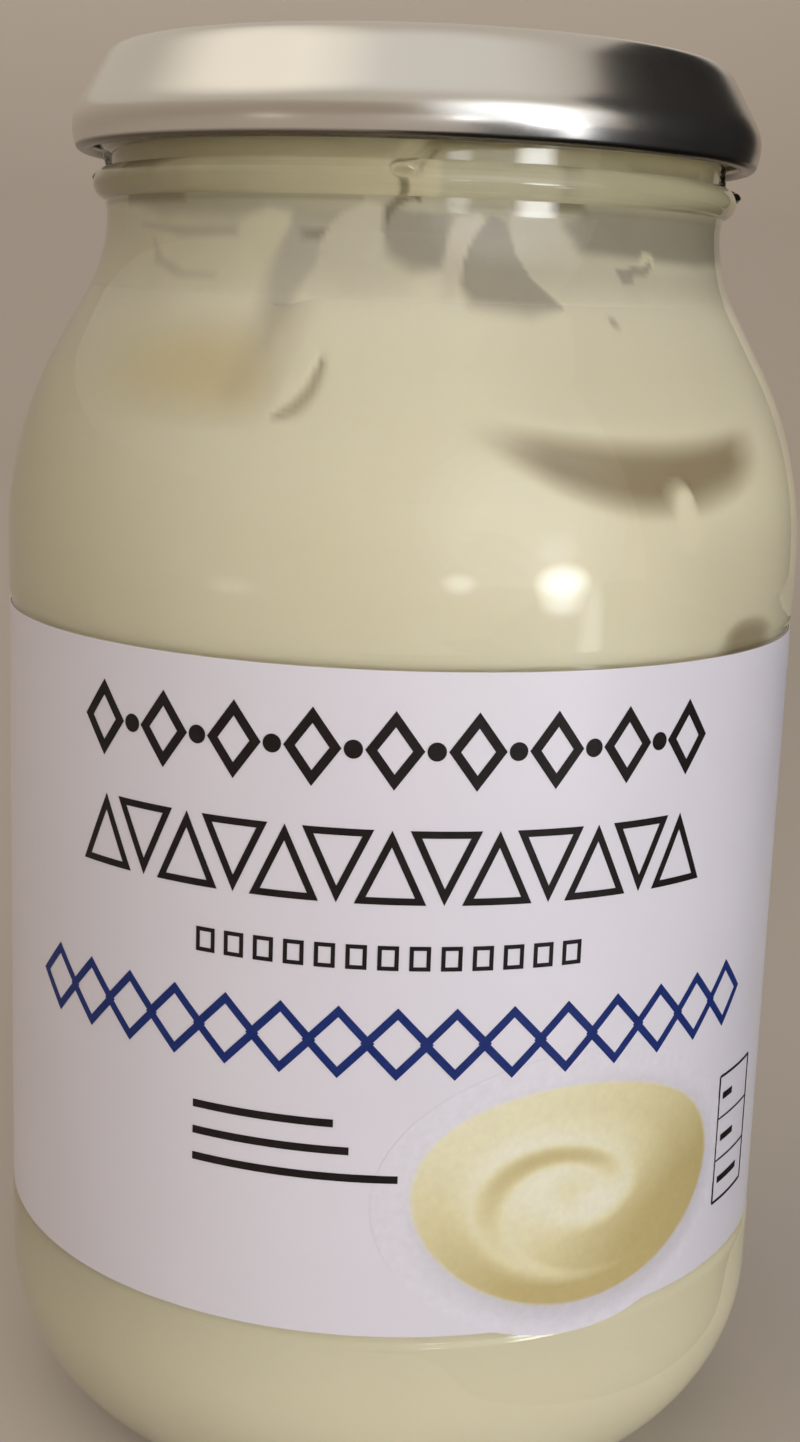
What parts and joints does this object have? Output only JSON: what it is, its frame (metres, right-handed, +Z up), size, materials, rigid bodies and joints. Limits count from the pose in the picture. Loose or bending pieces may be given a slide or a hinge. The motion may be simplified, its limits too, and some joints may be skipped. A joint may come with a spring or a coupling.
{
  "type": "mayonnaise jar",
  "caption": "Round clear glass jar of mayonnaise with a sloped shoulder, a wrap label and a silver twist-off tin lid.",
  "frame": {"origin": "centre of the base ring, on the plane that the jar stands on", "axes": "+Z up along the jar's axis; the front of the label faces -Y"},
  "size_m": [0.0822, 0.0822, 0.1419],
  "materials": {
    "jar_glass": "gloss",
    "lid_tin": "satin",
    "label_paper": "semi-gloss",
    "mayonnaise_cream": "satin"
  },
  "bodies": {
    "root": {"jar_glass": "jar_glass", "lid": "lid_tin", "label": "label_paper", "mayonnaise": "mayonnaise_cream"}
  },
  "joints": []
}
